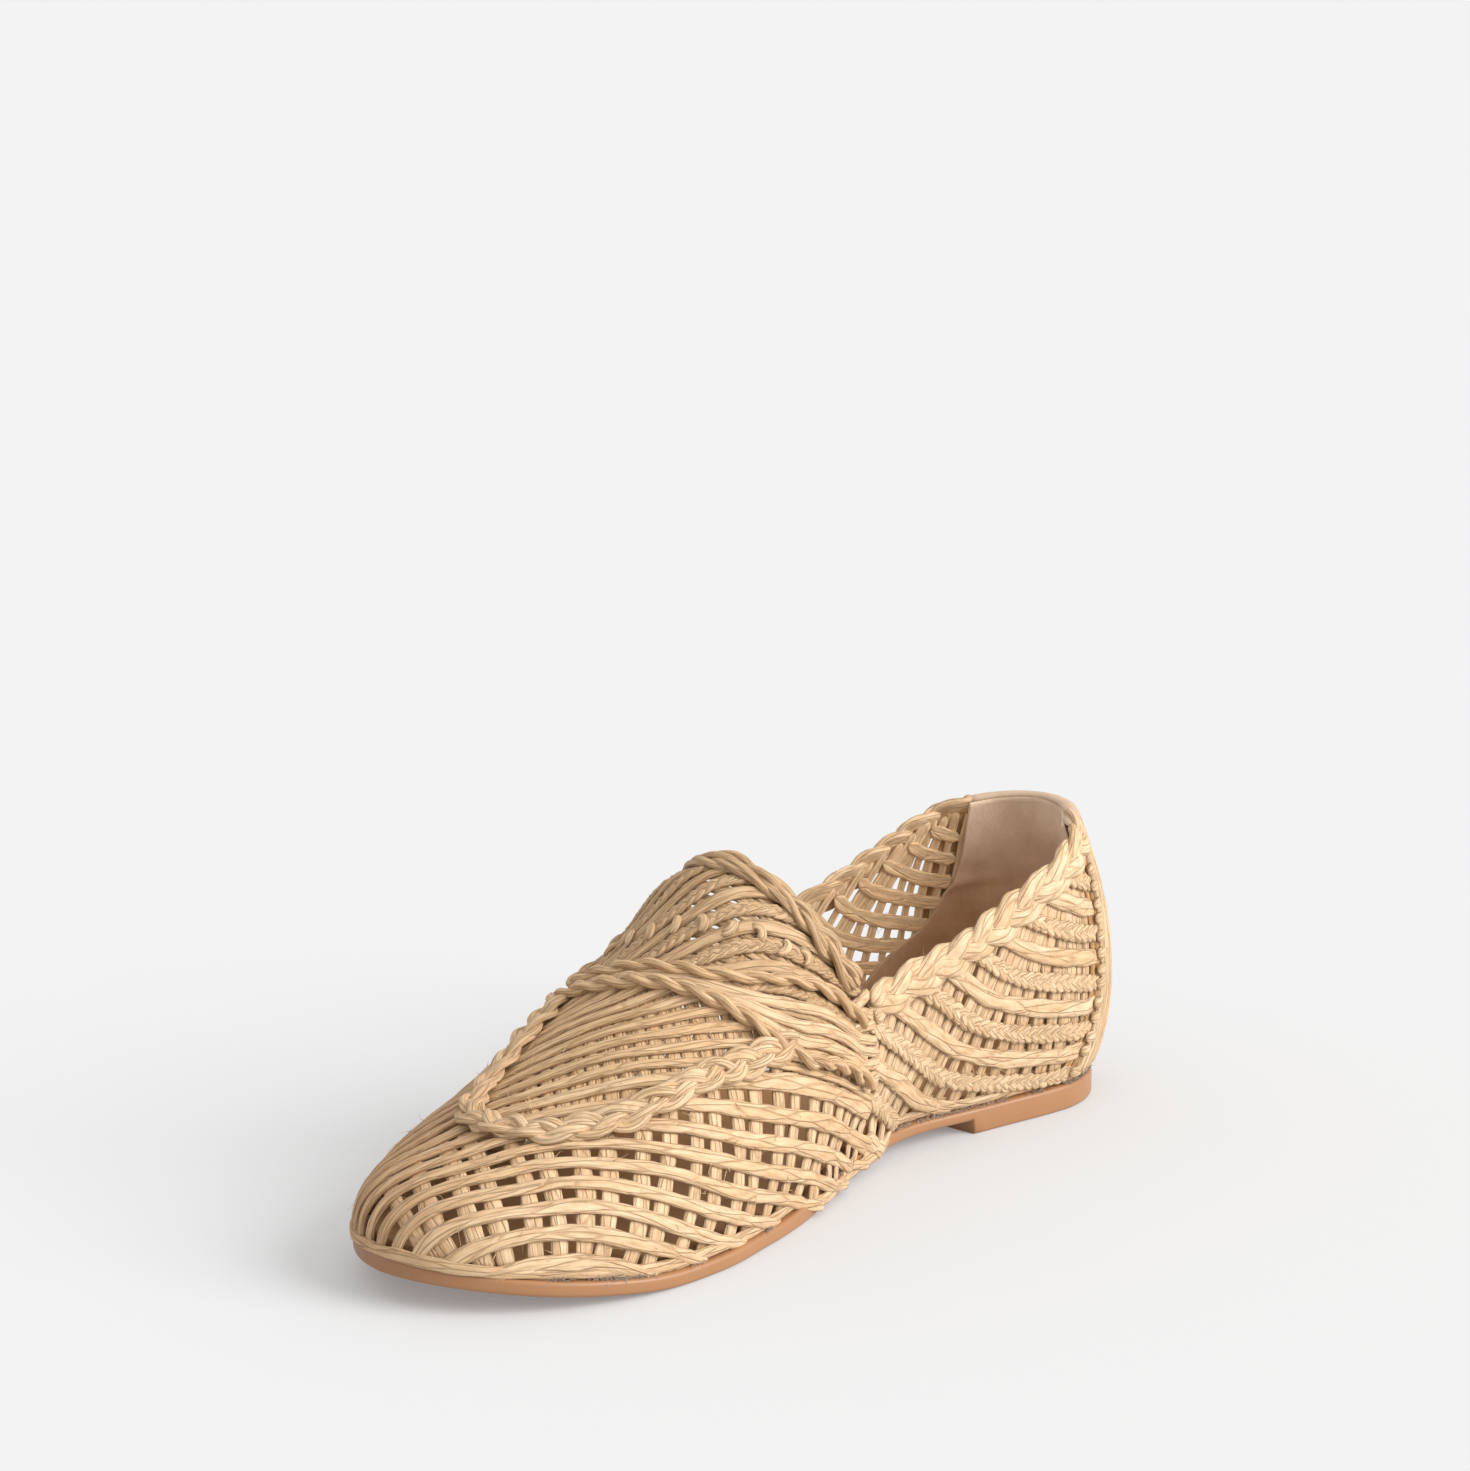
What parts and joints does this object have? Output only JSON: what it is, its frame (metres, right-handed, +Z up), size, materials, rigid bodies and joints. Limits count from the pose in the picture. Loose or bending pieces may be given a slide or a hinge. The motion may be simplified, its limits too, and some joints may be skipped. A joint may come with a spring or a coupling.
{
  "type": "woven raffia loafer",
  "caption": "Slip-on loafer with an open woven raffia upper, braided apron seam, saddle strap, braided collar and a low moulded sole; stands empty on its sole.",
  "frame": {"origin": "on the floor, under the middle of the shoe's bounding box", "axes": "+X from heel to toe, +Y to the inner side of the foot, +Z up"},
  "size_m": [0.2581, 0.0886, 0.0806],
  "materials": {
    "unit_sole": "smooth, slightly glossy moulded rubber, caramel tan",
    "insole": "plain tan leather sock over board",
    "upper": "dry twisted raffia, honey colour",
    "plug_braid": "dry twisted raffia, honey colour",
    "throat_braid": "dry twisted raffia, honey colour",
    "saddle": "dry twisted raffia, honey colour",
    "collar_braid_inner": "dry twisted raffia, honey colour",
    "collar_braid_outer": "dry twisted raffia, honey colour",
    "heel_counter": "raffia strands over a suede backing"
  },
  "bodies": {
    "root": {"unit_sole": "unit_sole", "insole": "insole", "upper": "upper", "plug_braid": "plug_braid", "throat_braid": "throat_braid", "saddle": "saddle", "collar_braid_inner": "collar_braid_inner", "collar_braid_outer": "collar_braid_outer", "heel_counter": "heel_counter"}
  },
  "joints": []
}
